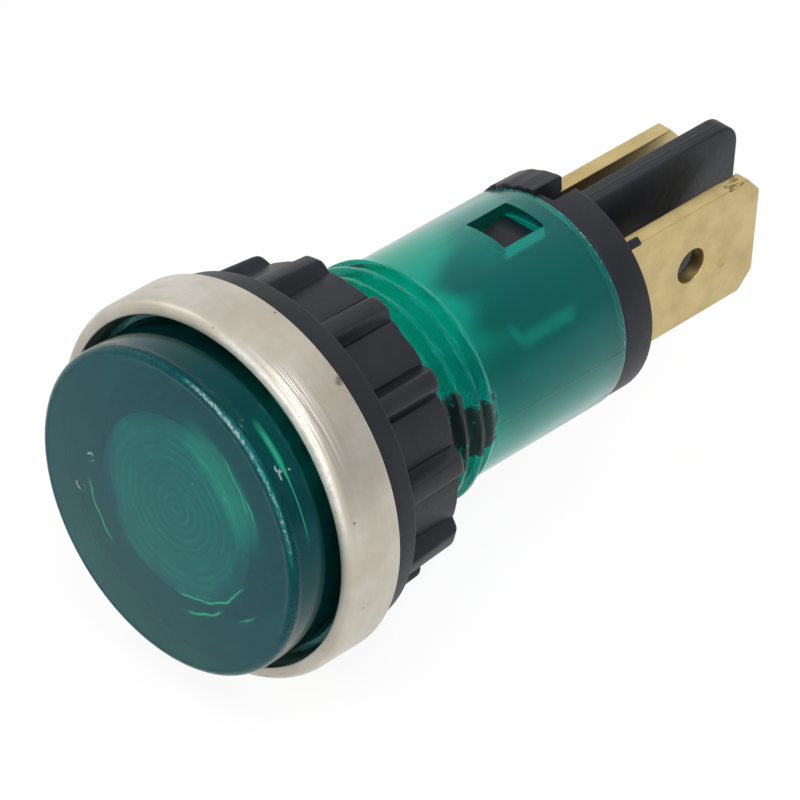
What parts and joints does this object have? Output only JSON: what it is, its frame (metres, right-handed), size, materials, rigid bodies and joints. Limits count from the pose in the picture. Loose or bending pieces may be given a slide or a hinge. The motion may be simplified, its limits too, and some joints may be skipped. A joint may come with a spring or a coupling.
{
  "type": "panel pilot light",
  "caption": "Round green pilot light with a satin metal bezel, a threaded translucent barrel, a ribbed panel nut and a rear cap with quick-connect tabs and a barrier.",
  "frame": {"origin": "on the lamp's axis, in the plane of the bezel's rear face, which meets the front of the panel", "axes": "+Y along the lamp's axis from the panel towards the tabs, +Z along the width of the tabs, the lens looking towards -Y"},
  "size_m": [0.0182, 0.0363, 0.0182],
  "materials": {
    "green_polycarbonate": "translucent green, flat satin front face, glossy sides",
    "satin_nickel": "satin nickel plate with fine turning marks, pits and scratches",
    "black_nylon": "matte black moulding",
    "black_cap_plastic": "matte black moulding with flash",
    "brass_strip": "stamped brass, satin, lightly tarnished",
    "lamp_glass": "clear",
    "electrode_nickel": "dull nickel",
    "tinned_wire": "tinned",
    "resistor_lacquer": "tan lacquer with coloured bands",
    "silicone_tube": "pale, matte",
    "solder": "bright solder"
  },
  "bodies": {
    "lamp": {"lens_body": "green_polycarbonate", "bezel_ring": "satin_nickel", "rear_cap": "black_cap_plastic", "tab_left": "brass_strip", "tab_right": "brass_strip", "lamp_glass": "lamp_glass", "electrode_left": "electrode_nickel", "electrode_right": "electrode_nickel", "lamp_lead_left": "tinned_wire", "lamp_lead_right": "tinned_wire", "resistor_body": "resistor_lacquer", "resistor_lead_front": "tinned_wire", "resistor_lead_rear": "tinned_wire", "insulating_tube": "silicone_tube", "solder_left": "solder", "solder_right": "solder", "solder_splice": "solder"},
    "nut": {"panel_nut": "black_nylon"}
  },
  "joints": [
    {"name": "nut_travel", "type": "slide", "parent": "lamp", "child": "nut", "axis": [0, 1, 0], "range_m": [0, 0.004]}
  ]
}
